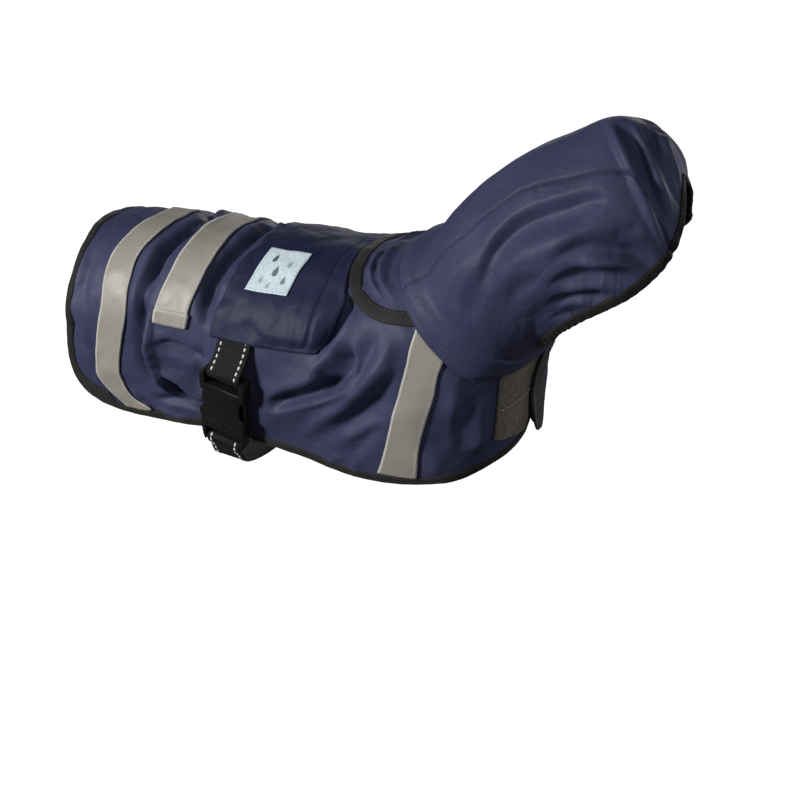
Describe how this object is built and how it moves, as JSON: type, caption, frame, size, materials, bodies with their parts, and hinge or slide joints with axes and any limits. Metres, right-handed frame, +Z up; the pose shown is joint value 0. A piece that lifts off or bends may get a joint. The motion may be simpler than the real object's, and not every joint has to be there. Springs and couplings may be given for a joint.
{
  "type": "dog raincoat",
  "caption": "Hooded dog raincoat in its worn hollow form, with bound edges, sewn tapes, a saddle panel, a cape at the nape and a belly belt with a side release buckle.",
  "frame": {"origin": "inner face of the coat at the spine, under the middle of the saddle panel, where the wearer's back holds it up", "axes": "+X the wearer's forward direction, towards the hood's face opening, +Y the wearer's left, +Z up"},
  "size_m": [0.4243, 0.1457, 0.3002],
  "materials": {
    "navy_nylon": "coated nylon with a soft sheen",
    "black_trim": "woven webbing, elastic and folded binding",
    "grey_tape": "warm grey reflective tape",
    "pale_label": "woven patch, matte",
    "black_plastic": "moulded, satin"
  },
  "bodies": {
    "root": {"body_panel": "navy_nylon", "saddle_panel": "navy_nylon", "nape_flap": "navy_nylon", "hood_right": "navy_nylon", "hood_gusset": "navy_nylon", "hood_left": "navy_nylon", "hem_binding": "black_trim", "nape_flap_binding": "black_trim", "loop_patch": "black_trim", "front_tab": "black_trim", "face_binding": "black_trim", "strap_right": "black_trim", "strap_left": "black_trim", "rear_tape": "grey_tape", "short_tape": "grey_tape", "front_tape_right": "grey_tape", "front_tape_left": "grey_tape", "label_patch": "pale_label", "buckle_socket": "black_plastic", "buckle_plug": "black_plastic"}
  },
  "joints": []
}
